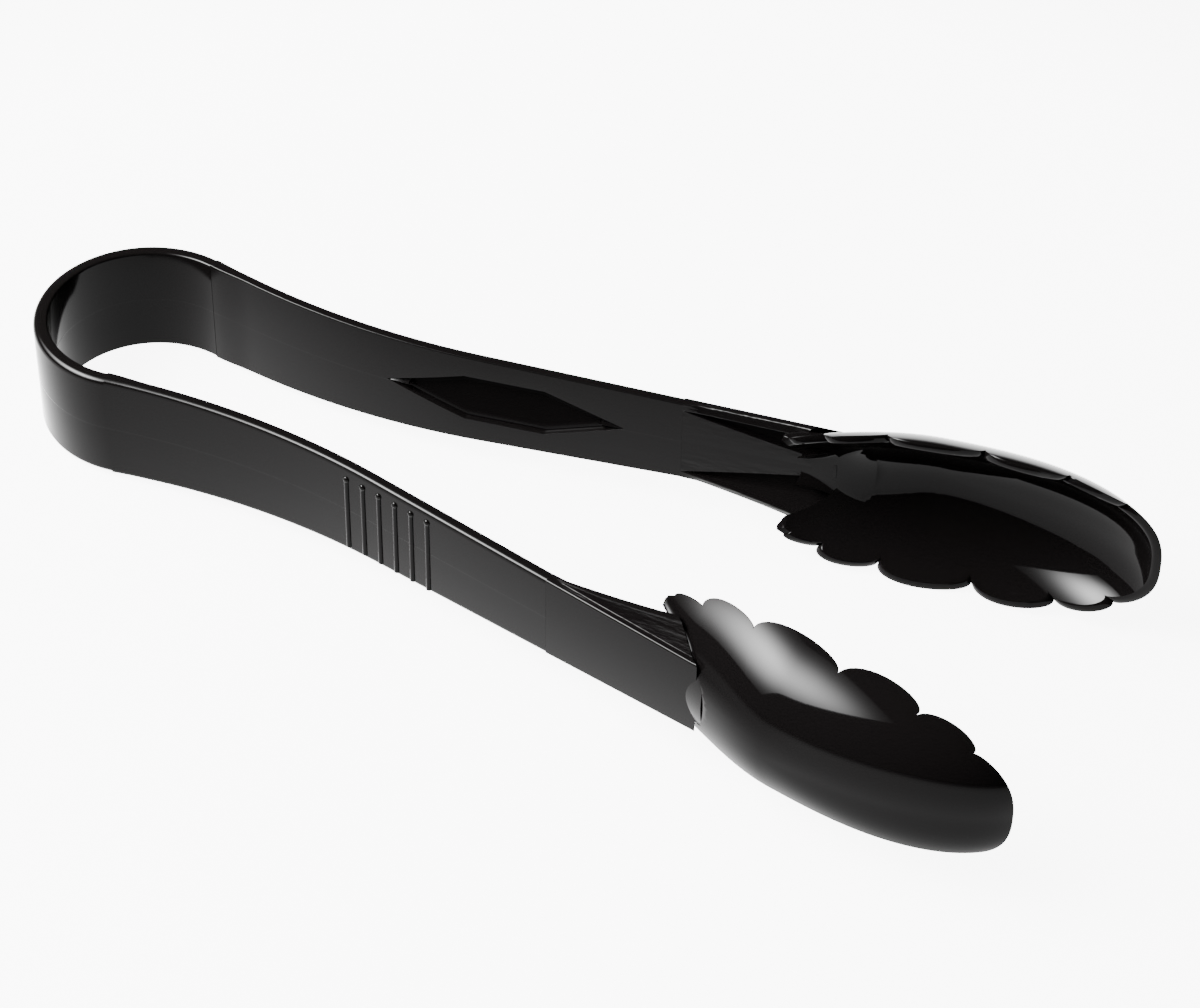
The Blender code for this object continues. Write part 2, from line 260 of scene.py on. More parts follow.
def bowStation(angle):
    outward = Vector((-math.cos(angle), math.sin(angle)))
    return Vector((bow["centreX"], 0.0)) + outward * bow["radius"], outward


bowEnd = bowStation(bow["sweep"])[0]
bowLean = bow["sweep"] - math.pi / 2
waist = bowEnd + strap["radius"] * Vector((math.sin(bowLean), math.cos(bowLean) - 1.0))
arcEndX = waist.x + strap["radius"] * math.sin(strap["rise"])


def strapStation(x):
    lean = min(math.asin((x - waist.x) / strap["radius"]), strap["rise"]) if x < arcEndX else strap["rise"]
    y = waist.y + strap["radius"] * (1.0 - math.cos(lean))
    y += max(0.0, x - arcEndX) * math.tan(strap["rise"])
    return Vector((x, y)), Vector((-math.sin(lean), math.cos(lean)))


def strapHalfHeight(x):
    return strap["halfHeight"] - strap["taper"] * (x - bowEnd.x)


def strapThickness(x):
    # the bow's thickness runs down into the strap's behind the small step
    share = min(1.0, max(0.0, (x - bowEnd.x) / strap["easeIn"]))
    extra = bow["thickness"] - strap["stepDepth"] - strap["thickness"]
    return strap["thickness"] + extra * (1.0 - share * share * (3.0 - 2.0 * share))


def place(side, station, depth, z):
    point = station[0] - station[1] * depth
    return Vector((point.x, side * point.y, z))


# geometry nodes

def newGroup(name, inputs):
    group = bpy.data.node_groups.new(name, "GeometryNodeTree")
    group.interface.new_socket(name="Geometry", in_out="OUTPUT", socket_type="NodeSocketGeometry")
    for label, kind in inputs:
        group.interface.new_socket(name=label, in_out="INPUT", socket_type="NodeSocket" + kind)
    entry = group.nodes.new("NodeGroupInput")
    return group, {label: Wire(group, entry.outputs[label]) for label, kind in inputs}


def endGroup(group, geometry, material):
    real = addNode(group, "GeometryNodeRealizeInstances", None, {"Geometry": geometry})
    painted = addNode(group, "GeometryNodeSetMaterial", None, {"Geometry": real, "Material": material})
    leave = group.nodes.new("NodeGroupOutput")
    group.links.new(painted.socket, leave.inputs[0])


def grow(name, group, values, material):
    # runs the group on an empty mesh and keeps the plain mesh that it makes
    host = bpy.data.objects.new(name + "Host", bpy.data.meshes.new(name + "Host"))
    bpy.context.scene.collection.objects.link(host)
    modifier = host.modifiers.new("grow", "NODES")
    modifier.node_group = group
    for item in group.interface.items_tree:
        if item.in_out == "INPUT" and item.name in values:
            modifier[item.identifier] = values[item.name]
    bpy.context.view_layer.update()
    graph = bpy.context.evaluated_depsgraph_get()
    mesh = bpy.data.meshes.new_from_object(host.evaluated_get(graph))
    host.modifiers.remove(modifier)
    bpy.data.objects.remove(host, do_unlink=True)
    return finishMesh(name, mesh, material)


def bowGroup():
    group, given = newGroup("bowSkin", [
        ("Centre X", "Float"), ("Radius", "Float"), ("Start Angle", "Float"), ("End Angle", "Float"),
        ("Side", "Float"), ("Thickness", "Float"), ("Half Height", "Float"), ("Outer Round", "Float"),
        ("Inner Round", "Float"), ("Steps", "Int"), ("Material", "Material")])
    line = addNode(group, "GeometryNodeCurvePrimitiveLine", None, {"End": (1.0, 0.0, 0.0)})
    path = addNode(group, "GeometryNodeResampleCurve", None, {"Curve": line, "Count": given["Steps"]})
    profile = addNode(group, "GeometryNodeCurvePrimitiveQuadrilateral", None,
                      {"Width": given["Thickness"], "Height": given["Half Height"] * 2.0})
    here = splitVector(group, addNode(group, "GeometryNodeInputPosition"))
    inner = here[0].math("GREATER_THAN", 0.0)
    corner = mixNumber(group, inner, given["Outer Round"], given["Inner Round"])
    filleted = addNode(group, "GeometryNodeFilletCurve", {"mode": "POLY"},
                       {"Curve": profile, "Radius": corner, "Count": 6})
    bar = addNode(group, "GeometryNodeCurveToMesh", None,
                  {"Curve": path, "Profile Curve": filleted, "Fill Caps": True})
    # the bar lies along X from 0 to 1; its Y is the depth and its Z the height
    along, across, up = splitVector(group, addNode(group, "GeometryNodeInputPosition"))
    angle = given["Start Angle"] + along * (given["End Angle"] - given["Start Angle"])
    reach = given["Radius"] - given["Thickness"] * 0.5 + across
    x = given["Centre X"] - reach * angle.math("COSINE")
    y = reach * angle.math("SINE") * given["Side"]
    bent = addNode(group, "GeometryNodeSetPosition", None,
                   {"Geometry": bar, "Position": joinVector(group, x, y, up)})
    endGroup(group, bent, given["Material"])
    return group


def ribGroup():
    group, given = newGroup("gripRibs", [
        ("Count", "Int"), ("First X", "Float"), ("Pitch", "Float"), ("Waist X", "Float"),
        ("Waist Y", "Float"), ("Arc Radius", "Float"), ("Rise", "Float"), ("Side", "Float"),
        ("Bottom", "Float"), ("Top", "Float"), ("Half Width", "Float"), ("Proud", "Float"),
        ("Bead Radius", "Float"), ("Material", "Material")])
    points = addNode(group, "GeometryNodeMeshLine", None,
                     {"Count": given["Count"],
                      "Start Location": joinVector(group, given["First X"], 0.0, 0.0),
                      "Offset": joinVector(group, given["Pitch"], 0.0, 0.0)})
    x, y, z = splitVector(group, addNode(group, "GeometryNodeInputPosition"))
    away = x - given["Waist X"]
    lean = (away / given["Arc Radius"]).math("ARCSINE").math("MINIMUM", given["Rise"])
    arcEnd = given["Arc Radius"] * given["Rise"].math("SINE")
    past = (away - arcEnd).math("MAXIMUM", 0.0)
    bulge = given["Arc Radius"] * (1.0 - lean.math("COSINE"))
    height = given["Waist Y"] + bulge + past * given["Rise"].math("TANGENT")
    onFace = addNode(group, "GeometryNodeSetPosition", None,
                     {"Geometry": points, "Position": joinVector(group, x, height * given["Side"], 0.0)})
    spine = addNode(group, "GeometryNodeCurvePrimitiveLine", None,
                    {"Start": joinVector(group, 0.0, 0.0, given["Bottom"]),
                     "End": joinVector(group, 0.0, 0.0, given["Top"])})
    ring = addNode(group, "GeometryNodeCurvePrimitiveCircle", None,
                   {"Resolution": 20, "Radius": given["Half Width"]})
    rod = addNode(group, "GeometryNodeCurveToMesh", None,
                  {"Curve": spine, "Profile Curve": ring, "Fill Caps": True})
    oval = joinVector(group, 1.0, given["Proud"] / given["Half Width"], 1.0)
    rod = addNode(group, "GeometryNodeTransform", None, {"Geometry": rod, "Scale": oval})
    bead = addNode(group, "GeometryNodeMeshUVSphere", None,
                   {"Segments": 24, "Rings": 14, "Radius": given["Bead Radius"]})
    squash = given["Proud"] * 1.25 / given["Bead Radius"]
    bead = addNode(group, "GeometryNodeTransform", None,
                   {"Geometry": bead, "Translation": joinVector(group, 0.0, 0.0, given["Top"]),
                    "Scale": joinVector(group, 1.0, squash, 1.0)})
    rib = group.nodes.new("GeometryNodeJoinGeometry")
    group.links.new(rod.socket, rib.inputs[0])
    group.links.new(bead.socket, rib.inputs[0])
    turned = joinVector(group, 0.0, 0.0, lean * given["Side"])
    spread = addNode(group, "GeometryNodeInstanceOnPoints", None,
                     {"Points": onFace, "Instance": Wire(group, rib.outputs[0]), "Rotation": turned})
    endGroup(group, spread, given["Material"])
    return group


# the bow: three skins a side, each covering a third of the arc

bowNodes = bowGroup()
third = bow["sweep"] / 3
for sideName, side in sides.items():
    for k in range(3):
        skin = grow(f"{sideName}BowSkin{k + 1}", bowNodes, {
            "Centre X": bow["centreX"], "Radius": bow["radius"], "Start Angle": k * third,
            "End Angle": (k + 1) * third, "Side": side, "Thickness": bow["thickness"],
            "Half Height": bow["halfHeight"], "Outer Round": bow["outerRound"],
            "Inner Round": bow["innerRound"], "Steps": bow["stepsEach"], "Material": bowPlastic}, bowPlastic)
        ends = [place(side, bowStation(angle), 0.5 * bow["thickness"], 0.0)
                for angle in (k * third, (k + 1) * third)]
        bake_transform(skin)
        node = sideName + ("_bow_heel" if k == 2 else f"_bow_link_{k + 1}")
        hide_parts(node)
        if k == 0:
            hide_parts("bow_crown")
print("bow made")


# straps with the long hexagonal recess in the inner face

recess = {
    "centreX": -21.0 * mm,
    "halfLength": 24.4 * mm,
    "halfFlat": 8.3 * mm,
    "centreZ": 0.2 * mm,
    "halfHeight": 5.5 * mm,
    "depth": 1.15 * mm,
    "wall": 1.5 * mm,
    "lip": 0.12 * mm,
}


def recessMouth(x, shrink):
    # half-height of the mouth at a place along X, the outline drawn in by shrink
    slope = recess["halfHeight"] / (recess["halfLength"] - recess["halfFlat"])
    edge = (recess["halfLength"] - abs(x - recess["centreX"])) * slope
    edge -= shrink * math.sqrt(1.0 + slope * slope)
    return max(0.0, min(recess["halfHeight"] - shrink, edge))


def strapRing(side, x):
    station = strapStation(x)
    half = strapHalfHeight(x)
    thickness = strapThickness(x)
    corners = [(0.0, half, strap["outerRound"]), (thickness, half, strap["innerRound"])]
    upper = rounded([(0.0, 0.0, 0.0), *corners, (thickness, 0.0, 0.0)])[1:-1]
    lip = recess["lip"]
    wall = recess["wall"]
    profile = [(-lip, 0.0), (0.0, 0.25), (lip, 0.9), (wall - lip, 0.93), (wall, 0.985), (wall + lip, 1.0)]
    middle = []
    for shrink, share in profile:
        mouth = recessMouth(x, shrink)
        share = share if mouth > 0.0 else 0.0
        if 0.0 < shrink and mouth > 0.0:
            run = min(1.0, max(0.0, recessMouth(x, 0.0) / wall))
            share = min(share, run)
        middle.append((mouth, recess["depth"] * share))
    if recessMouth(x, 0.0) <= 0.0:
        middle = [(0.0, 0.0)] * len(middle)
    ring = [place(side, station, p[0], p[1]) for p in upper]
    marks = [0.0] * len(upper)
    order = [(m, 1.0) for m in middle] + [(m, -1.0) for m in reversed(middle)]
    spread = len(order)
    for k, ((mouth, sunk), sign) in enumerate(order):
        z = recess["centreZ"] + sign * mouth + (spread / 2 - k - 0.5) * 0.004 * mm
        ring.append(place(side, station, thickness - sunk, z))
        # painted shade: the recess floor is marked to lose its coat and look shaded
        inFloor = sunk > 0.90 * recess["depth"] or (sign > 0 and sunk > 0.2 * recess["depth"])
        marks.append(0.96 if inFloor else 0.0)
    ring += [place(side, station, p[0], -p[1]) for p in reversed(upper)]
    marks += [0.0] * len(upper)
    return ring, marks


def strapPlaces():
    first = bowEnd.x - 0.05 * mm
    count = int((strap["endX"] - first) / strap["step"])
    values = [first + (strap["endX"] - first) * k / count for k in range(count + 1)]
    slope = recess["halfHeight"] / (recess["halfLength"] - recess["halfFlat"])
    reach = math.sqrt(1.0 + slope * slope) / slope
    for shrink in (-recess["lip"], 0.0, recess["lip"], recess["wall"], recess["wall"] + recess["lip"]):
        for sign in (-1.0, 1.0):
            values.append(recess["centreX"] + sign * (recess["halfLength"] - shrink * reach))
            corner = recess["halfFlat"] - shrink * (reach - 1.0 / slope)
            values.append(recess["centreX"] + sign * corner)
    values.append(arcEndX)
    kept = []
    for value in sorted(values):
        if not kept or value - kept[-1] > 0.02 * mm:
            kept.append(value)
    return kept


for sideName, side in sides.items():
    rings = []
    paintedShade = []
    for x in strapPlaces():
        ring, marks = strapRing(side, x)
        rings.append(ring)
        paintedShade += marks
    strapSkin = loft(sideName + "StrapSkin", rings, strapPlastic, {"paintedShade": paintedShade})
    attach(strapSkin, sideName + "_arm")
    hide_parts(sideName + "_strap")
print("straps made")


# grip ribs

ribs = {
    "count": 6,
    "firstX": -33.1 * mm,
    "pitch": 3.98 * mm,
    "top": 7.8 * mm,
    "halfWidth": 0.55 * mm,
    "proud": 0.42 * mm,
    "beadRadius": 0.72 * mm,
}
ribNodes = ribGroup()
for sideName, side in sides.items():
    middleX = ribs["firstX"] + 2.5 * ribs["pitch"]
    grip = grow(sideName + "GripRibs", ribNodes, {
        "Count": ribs["count"], "First X": ribs["firstX"], "Pitch": ribs["pitch"],
        "Waist X": waist.x, "Waist Y": waist.y, "Arc Radius": strap["radius"],
        "Rise": strap["rise"], "Side": side, "Bottom": -(strapHalfHeight(middleX) - 0.9 * mm),
        "Top": ribs["top"], "Half Width": ribs["halfWidth"], "Proud": ribs["proud"],
        "Bead Radius": ribs["beadRadius"], "Material": strapPlastic}, strapPlastic)
    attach(grip, sideName + "_arm")
print("ribs made")


# the head's form: half an ellipsoid with a blunter tip, eased flat towards the neck

head = {
    "x": 70.8 * mm,
    "y": 22.36 * mm,
    "z": -0.15 * mm,
    "turn": math.radians(10.45),
    "length": 47.5 * mm,
    "depth": 22.4 * mm,
    "halfHeight": 19.95 * mm,
    "blunt": 2.78,
    "wall": 1.65 * mm,
    "ease": 2.6 * mm,
    "easeRun": 22.0 * mm,
    "lean": 0.18,
    "notches": [(40.0, 8.33), (57.2, 9.32), (78.6, 10.37), (104.8, 10.30), (123.0, 10.11), (134.5, 9.51)],
    "rises": [1.94, 2.03, 3.24, 3.33, 2.55, 0.81],
    "sharpAngle": 21.0,
    "cornerFrom": 136.0,
    "cornerCut": 2.2,
    "bodyLift": 0.55 * mm,
    "rimStrips": [(0.12, 0.40), (0.40, 0.30), (1.25, 0.30), (1.53, 0.40)],
    "shadeUnder": 0.93,
    "shadeCrease": 0.88,
    "shoulderRun": 11.0 * mm,
    "rings": 44,
    "stepsEach": 18,
}
crease = {
    "inner": Vector((39.5 * mm, 26.6 * mm)),
    "outer": Vector((50.2 * mm, 36.3 * mm)),
    "collarTop": 12.6 * mm,
}


def headPoint(side, polar, ring, shrink):
    c = math.cos(polar)
    s = math.sin(polar)
    power = head["blunt"] if c > 0.0 else 2.0
    reach = ring * (abs(c) ** power + abs(s) ** power) ** (-1.0 / power)
    along = (head["length"] - shrink) * reach * c
    up = (head["halfHeight"] - shrink) * reach * s
    run = min(1.0, max(0.0, -along / head["easeRun"]))
    ease = head["ease"] * run * run * (3.0 - 2.0 * run) * (1.0 - (up / head["halfHeight"]) ** 2)
    out = (head["depth"] - shrink) * math.sqrt(max(0.0, 1.0 - ring ** 2)) - ease
    cosTurn = math.cos(head["turn"])
    sinTurn = math.sin(head["turn"])
    x = head["x"] + along * cosTurn - out * sinTurn
    y = head["y"] + along * sinTurn + out * cosTurn
    return Vector((x, side * y, head["z"] + up))


def rimHeight(polar):
    degrees = abs(math.degrees(polar))
    start = (-head["notches"][0][0], head["notches"][0][1])
    for end, rise in zip(head["notches"], head["rises"]):
        if degrees <= end[0]:
            across = 2.0 * (degrees - start[0]) / (end[0] - start[0]) - 1.0
            lean = 0.0 if start[0] < 0.0 else head["lean"] * across
            base = 0.5 * (start[1] + end[1]) + 0.5 * (end[1] - start[1]) * across
            return (base - rise * math.sqrt(max(0.0, 1.0 - across * across)) * (1.0 + lean)) * mm
        start = end
    corner = (degrees - head["cornerFrom"]) / 6.0
    return (head["notches"][-1][1] + head["cornerCut"] * min(1.0, max(0.0, corner)) ** 2) * mm


def rimAngles():
    steps = head["stepsEach"]
    first = head["notches"][0][0]
    half = [first * math.sin(0.5 * math.pi * k / (2 * steps)) for k in range(2 * steps)]
    for start, end in zip(head["notches"], head["notches"][1:]):
        middle = 0.5 * (start[0] + end[0])
        reach = 0.5 * (end[0] - start[0])
        half += [middle - reach * math.cos(math.pi * k / steps) for k in range(steps)]
    last = head["notches"][-1][0]
    half += [last + (180.0 - last) * k / 14 for k in range(14)]
    whole = half + [180.0] + [-angle for angle in reversed(half[1:])]
    return [math.radians(angle) for angle in whole]


def beyondCrease(point, side):
    # how far a point lies on the head's side of the crease plane
    along = (crease["outer"] - crease["inner"]).normalized()
    ahead = Vector((along.y, -along.x))
    return (Vector((point.x, side * point.y)) - crease["inner"]).dot(ahead)


def headPaintedShade(point, side, inside):
    # painted shade: the underside, the collar's shoulder and the inside of the crease are made less glossy
    # so they look shaded
    past = beyondCrease(point, side)
    if inside:
        return head["shadeCrease"] * min(1.0, max(0.0, 2.0 - past / mm))
    under = head["shadeUnder"] * min(1.0, max(0.0, (1.0 * mm - point.z) / (12.0 * mm)))
    high = min(1.0, max(0.0, (point.z - 3.0 * mm) / (4.0 * mm)))
    shoulder = head["shadeCrease"] * high * (1.0 - min(1.0, max(0.0, past / head["shoulderRun"])))
    return max(under, shoulder)


def headMesh(side):
    angles = rimAngles()
    count = len(angles)
    levels = head["rings"]
    points = []
    faces = []
    for shrink in (0.0, head["wall"]):
        first = len(points)
        innerStart = first
        depth = head["depth"] - shrink
        for level in range(1, levels + 1):
            share = math.sin(0.5 * math.pi * level / levels)
            for polar in angles:
                height = rimHeight(polar) + head["bodyLift"]
                edge = math.sqrt(1.0 - (height / depth) ** 2)
                points.append(headPoint(side, polar, edge * share, shrink))
        pole = len(points)
        points.append(headPoint(side, 0.0, 0.0, shrink))
        for k in range(count):
            after = (k + 1) % count
            faces.append((pole, first + k, first + after))
            for level in range(levels - 1):
                a = first + level * count
                b = a + count
                faces.append((a + k, b + k, b + after, a + after))
    # the rim: five strips across the wall, rounded over from the outer face to the inner one
    outerEdge = (levels - 1) * count
    innerEdge = outerEdge + levels * count + 1
    strips = [outerEdge]
    for shrink, lower in head["rimStrips"]:
        strips.append(len(points))
        for polar in angles:
            height = rimHeight(polar) + lower * mm
            shrinkBy = shrink * mm
            edge = math.sqrt(1.0 - (height / (head["depth"] - shrinkBy)) ** 2)
            points.append(headPoint(side, polar, edge, shrinkBy))
    strips.append(innerEdge)
    for low, high in zip(strips, strips[1:]):
        for k in range(count):
            after = (k + 1) % count
            faces.append((low + k, low + after, high + after, high + k))
    mesh = bpy.data.meshes.new("head")
    mesh.from_pydata([tuple(point) for point in points], [], faces)
    # painted shade: these values take the head's coat away where it should look shaded
    shaded = [headPaintedShade(point, side, k >= innerStart) for k, point in enumerate(points)]
    mesh.attributes.new("paintedShade", "FLOAT", "POINT").data.foreach_set("value", np.array(shaded, np.float32))
    cut = bmesh.new()
    cut.from_mesh(mesh)
    bmesh.ops.recalc_face_normals(cut, faces=cut.faces)
    along = (crease["outer"] - crease["inner"]).normalized()
    ahead = Vector((along.y, -along.x))
    origin = crease["inner"] + ahead * 0.02 * mm
    whole = cut.verts[:] + cut.edges[:] + cut.faces[:]
    done = bmesh.ops.bisect_plane(cut, geom=whole, plane_co=(origin.x, side * origin.y, 0.0),
                                  plane_no=(ahead.x, side * ahead.y, 0.0), clear_inner=True, dist=1e-7)
    edges = [item for item in done["geom_cut"] if isinstance(item, bmesh.types.BMEdge)]
    bmesh.ops.triangle_fill(cut, edges=edges, use_beauty=True)
    cut.to_mesh(mesh)
    cut.free()
    return mesh


for sideName, side in sides.items():
    headSkin = finishMesh(sideName + "HeadSkin", headMesh(side), headPlastic, head["sharpAngle"])
    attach(headSkin, sideName + "_arm")
    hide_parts(sideName + "_head")
print("heads made")


# the neck: the outer face runs on, with a waisted spine, two webs and two flanges

neck = {
    "endDepth": 6.1 * mm,
    "endHalf": 8.8 * mm,
    "edgeDepth": 1.25 * mm,
    "spineHalf": 1.7 * mm,
    "vertexInset": 1.6 * mm,
    "flangeBand": 1.9 * mm,
    "flangeSlant": 0.55 * mm,
    "flangeThick": 1.2 * mm,
    "webThick": 0.8 * mm,
    "floorDepth": 1.5 * mm,
    "steps": 36,
}


def creaseX(depth):
    # the X of the outer face above the point where the crease plane cuts this depth
    station = strapStation(crease["outer"].x)
    run = Vector((station[1].y, -station[1].x))
    offset = crease["inner"] - station[0]
    innerDepth = -offset.dot(station[1])
    return crease["outer"].x + offset.dot(run) * run.x * depth / innerDepth


def neckCorners(share, x):
    half = strapHalfHeight(x)
    opened = min(1.0, share * 9.0)
    top = half + (crease["collarTop"] - neck["endHalf"]) * share
    inner = strap["thickness"] + (neck["endDepth"] - strap["thickness"]) * share
    slant = neck["flangeSlant"] * opened
    band = neck["vertexInset"] + (neck["flangeBand"] - neck["vertexInset"]) * share
    outer = inner - slant - neck["flangeThick"] * min(1.0, 0.35 + share * 2.0)
    spine = half - neck["vertexInset"]
    spine += (neck["spineHalf"] - spine) * min(1.0, share)
    floor = strap["thickness"] + (neck["floorDepth"] - strap["thickness"]) * opened
    webFoot = min(half - 0.9 * mm, top - band)
    return [
        (0.0, 0.0, 0.0),
        (0.0, half, strap["outerRound"] * 0.85),
        (neck["edgeDepth"], half, 0.25 * mm),
        (max(outer, 1.30 * mm), top, 0.30 * mm),
        (inner - slant, top, 0.35 * mm),
        (inner, top - band, 0.22 * mm),
        (max(inner - neck["webThick"] * opened, floor), top - band - 0.1 * mm, 0.2 * mm),
        (floor, max(webFoot - 0.5 * mm, spine + 0.2 * mm), 0.9 * mm),
        (floor, spine + 0.15 * mm, 0.35 * mm),
        (strap["thickness"], spine, 0.15 * mm),
        (strap["thickness"], 0.0, 0.0),
    ]


def inPocket(p, share, half):
    # the webs and the pocket's floor, but not the flange's band or the spine's face
    inner = strap["thickness"] + (neck["endDepth"] - strap["thickness"]) * share
    top = half + (crease["collarTop"] - neck["endHalf"]) * share
    onBand = p[0] > inner - 0.9 * mm and p[1] > top - neck["flangeBand"] - 0.05 * mm
    onFace = abs(p[0] - strap["thickness"]) < 0.03 * mm and p[1] < half - neck["vertexInset"] + 0.1 * mm
    return p[0] > 1.26 * mm and not onBand and not onFace


def neckMesh(side):
    rings = []
    web = []
    paintedShade = []
    first = strap["endX"] - 0.05 * mm
    for k in range(neck["steps"] + 1):
        share = k / neck["steps"]
        upper = rounded(neckCorners(share, first + share * (crease["outer"].x - first)), 4)
        ring = []
        for p in upper[1:] + [Vector((q[0], -q[1])) for q in reversed(upper[1:-1])]:
            last = creaseX(max(0.0, p[0]))
            ring.append(place(side, strapStation(first + share * (last - first)), p[0], p[1]))
        half = strapHalfHeight(first + share * (crease["outer"].x - first))
        inWeb = [1.0 if p[0] > 0.9 * mm and p[1] > 2.0 * mm else 0.0 for p in upper[1:]]
        # painted shade: the webs and the pocket's floor are marked to lose their coat and look shaded
        shaded = [0.94 if inPocket(p, share, half) else 0.0 for p in upper[1:]]
        web += inWeb + list(reversed(inWeb[:-1]))
        paintedShade += shaded + list(reversed(shaded[:-1]))
        rings.append(ring)
    return rings, {"web": web, "paintedShade": paintedShade}


def formHeight(x, z, shrink):
    # how far out the head's form lies above a point (x, z), by a few steps of settling
    y = 35.0 * mm
    for step in range(24):
        run = (x - head["x"]) * math.cos(head["turn"]) + (y - head["y"]) * math.sin(head["turn"])
        up = z - head["z"]
        eased = min(1.0, max(0.0, -run / head["easeRun"]))
        ease = head["ease"] * eased * eased * (3.0 - 2.0 * eased) * (1.0 - (up / head["halfHeight"]) ** 2)
        inside = 1.0 - (run / (head["length"] - shrink)) ** 2 - (up / (head["halfHeight"] - shrink)) ** 2
        out = (head["depth"] - shrink) * math.sqrt(max(0.0, inside)) - ease
        goal = head["y"] + run * math.sin(head["turn"]) + out * math.cos(head["turn"])
        y += 0.7 * (goal - y)
    return y


def slab(side, rows):
    # a closed sheet between two heights; rows of (x, z, inner y, outer y)
    rings = []
    for row in rows:
        near = [Vector((x, side * low, z)) for x, z, low, high in row]
        far = [Vector((x, side * high, z)) for x, z, low, high in reversed(row)]
        rings.append(near + far)
    return rings


flare = {
    "startX": 40.0 * mm,
    "endX": 55.0 * mm,
    "sinkFrom": 43.0 * mm,
    "waist": 1.6 * mm,
    "spread": 6.0 * mm,
    "skirt": 2.0 * mm,
    "rise": 0.05 * mm,
}


def flareRows(side):
    # the spine runs on from the neck, widens like a fan and sinks into the scoop
    rows = []
    deep = strap["thickness"] / math.cos(strap["rise"])
    for k in range(41):
        x = flare["startX"] + (flare["endX"] - flare["startX"]) * k / 40
        emerge = min(1.0, max(0.0, (x - flare["startX"]) / (4.0 * mm)))
        plane = strapStation(x)[0].y - deep - flare["rise"] * (2.0 * emerge - 1.0)
        sink = min(1.0, max(0.0, (x - flare["sinkFrom"]) / (flare["endX"] - flare["sinkFrom"])))
        sink = sink * sink * (3.0 - 2.0 * sink)
        fan = (x - flare["startX"]) / (flare["endX"] - flare["startX"])
        wide = flare["waist"] + flare["spread"] * fan ** 1.25
        row = []
        for j in range(-24, 25):
            z = (wide + flare["skirt"]) * j / 24
            bottom = formHeight(x, z, head["wall"])
            if x < 47.0 * mm:
                bottom = min(bottom, plane + 1.6 * mm)
            top = plane + (bottom + 0.05 * mm - plane) * sink
            edge = min(1.0, max(0.0, (wide + flare["skirt"] - abs(z)) / flare["skirt"]))
            lift = edge * edge * (3.0 - 2.0 * edge)
            y = top * lift + (bottom + 0.12 * mm) * (1.0 - lift)
            row.append((x, z, y, max(y, bottom) + 0.5 * mm))
        rows.append(row)
    return rows


def heelRows(side):
    # the head's form carries on under the strap's flat face and leaves it along an arc
    rows = []
    for k in range(19):
        back = -3.6 * mm + 5.4 * mm * k / 18
        row = []
        for j in range(-16, 17):
            z = 8.3 * mm * j / 16
            x = crease["outer"].x + back
            y = formHeight(x, z, 0.0)
            past = beyondCrease(Vector((x, y)), 1.0)
            y -= 0.5 * mm * min(1.0, max(0.0, past / mm))
            row.append((x, z, y - 1.0 * mm, y))
        rows.append(row)
    return rows


def formSurface(side, z):
    # where the crease plane cuts the outside of the head at a height, as a point
    along = (crease["outer"] - crease["inner"]).normalized()
    low = -2.0 * mm
    high = 22.0 * mm
    for step in range(40):
        middle = 0.5 * (low + high)
        plan = crease["inner"] + along * middle
        dx = plan.x - head["x"]
        dy = plan.y - head["y"]
        run = dx * math.cos(head["turn"]) + dy * math.sin(head["turn"])
        out = -dx * math.sin(head["turn"]) + dy * math.cos(head["turn"])
        up = z - head["z"]
        eased = min(1.0, max(0.0, -run / head["easeRun"]))
        out += head["ease"] * eased * eased * (3.0 - 2.0 * eased) * (1.0 - (up / head["halfHeight"]) ** 2)
        inside = (run / head["length"]) ** 2 + (up / head["halfHeight"]) ** 2
        inside += (out / head["depth"]) ** 2
        if inside < 1.0:
            low = middle
        else:
            high = middle
    plan = crease["inner"] + along * low
    return Vector((plan.x, side * plan.y, z))


def sweepTube(points, across, radii, sections=14):
    # an oval rod along points; across gives the direction of its first radius
    rings = []
    for k, point in enumerate(points):
        tangent = (points[min(k + 1, len(points) - 1)] - points[max(k - 1, 0)]).normalized()
        first = (across[k] - tangent * across[k].dot(tangent)).normalized()
        second = tangent.cross(first)
        wide, thick = radii[k]
        rings.append([point + first * wide * math.cos(2 * math.pi * j / sections)
                      + second * thick * math.sin(2 * math.pi * j / sections) for j in range(sections)])
    return rings


collar = {
    "steps": 28,
    "fromZ": 7.2 * mm,
    "toZ": 12.0 * mm,
    "footWidth": 0.45 * mm,
    "topWidth": 1.9 * mm,
    "thick": 0.62 * mm,
}


def collarRod(side, sign):
    # a fan-shaped bead from the strap's corner up the outside of the crease to the rim
    points = []
    sizes = []
    for k in range(collar["steps"]):
        t = k / (collar["steps"] - 1)
        z = sign * (collar["fromZ"] + (collar["toZ"] - collar["fromZ"]) * t)
        wide = collar["footWidth"] + (collar["topWidth"] - collar["footWidth"]) * t
        base = formSurface(side, z)
        x = base.x + 0.9 * wide
        points.append(Vector((x, side * (formHeight(x, z, 0.0) - 0.25 * mm), z)))
        ended = math.sqrt(max(0.02, min(1.0, (1.0 - t) * 7.0))) * math.sqrt(min(1.0, 0.05 + 6.0 * t))
        sizes.append((wide * ended, collar["thick"] * ended))
    return sweepTube(points, [Vector((1.0, 0.0, 0.0))] * len(points), sizes, 20)


for sideName, side in sides.items():
    rings, marks = neckMesh(side)
    neckSkin = loft(sideName + "NeckSkin", rings, neckPlastic, marks)
    spine = loft(sideName + "Spine", slab(side, flareRows(side)), headPlastic, smoothAngle=50.0)
    heel = loft(sideName + "Heel", slab(side, heelRows(side)), headPlastic, smoothAngle=50.0)
    pieces = [neckSkin, spine, heel]
    for sign, label in ((1.0, "Upper"), (-1.0, "Lower")):
        pieces.append(loft(f"{sideName}{label}Collar", collarRod(side, sign), headPlastic))
    for piece in pieces:
        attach(piece, sideName + "_arm")
    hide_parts(sideName + "_neck")
print("necks made")
